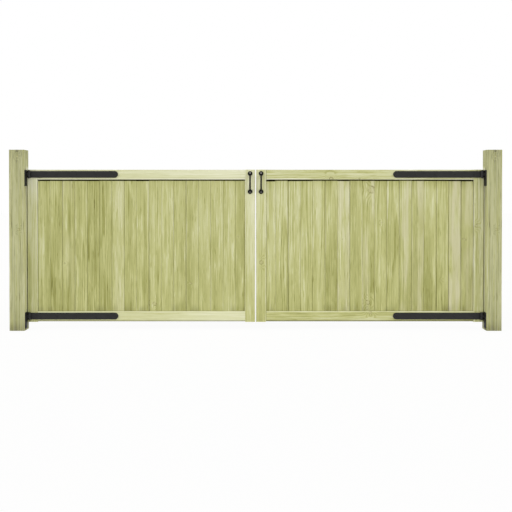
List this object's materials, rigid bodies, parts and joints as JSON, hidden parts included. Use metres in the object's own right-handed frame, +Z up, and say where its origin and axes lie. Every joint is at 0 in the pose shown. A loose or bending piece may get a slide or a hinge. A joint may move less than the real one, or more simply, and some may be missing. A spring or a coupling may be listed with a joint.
{
  "type": "double-leaf wooden fence gate",
  "caption": "Double-leaf boarded timber gate between square posts, hung on long black strap hinges that turn on pins, with a pull handle on each meeting stile.",
  "frame": {"origin": "middle of the left post's foot, at ground level", "axes": "+X from the left post to the right post, +Y away from the front, +Z up; the leaves open to the front, -Y"},
  "size_m": [3.236, 0.1, 1.19],
  "materials": {
    "post_timber": "matte",
    "frame_timber": "matte",
    "board_timber": "matte",
    "black_iron": "satin"
  },
  "bodies": {
    "posts": {"left_post": "post_timber", "left_upper_hinge_plate": "black_iron", "left_lower_hinge_plate": "black_iron", "right_post": "post_timber", "right_upper_hinge_plate": "black_iron", "right_lower_hinge_plate": "black_iron"},
    "left_leaf": {"left_hinge_stile": "frame_timber", "left_meeting_stile": "frame_timber", "left_top_rail": "frame_timber", "left_bottom_rail": "frame_timber", "left_boards": "board_timber", "left_upper_band": "black_iron", "left_lower_band": "black_iron", "left_handle": "black_iron"},
    "right_leaf": {"right_hinge_stile": "frame_timber", "right_meeting_stile": "frame_timber", "right_top_rail": "frame_timber", "right_bottom_rail": "frame_timber", "right_boards": "board_timber", "right_upper_band": "black_iron", "right_lower_band": "black_iron", "right_handle": "black_iron"}
  },
  "joints": [
    {"name": "left_leaf_swing", "type": "hinge", "parent": "posts", "child": "left_leaf", "pos_m": [0.07, -0.0113, 0.555], "axis": [0, 0, -1], "range_deg": [0, 110]},
    {"name": "right_leaf_swing", "type": "hinge", "parent": "posts", "child": "right_leaf", "pos_m": [3.066, -0.0113, 0.555], "axis": [0, 0, 1], "range_deg": [0, 110]}
  ]
}
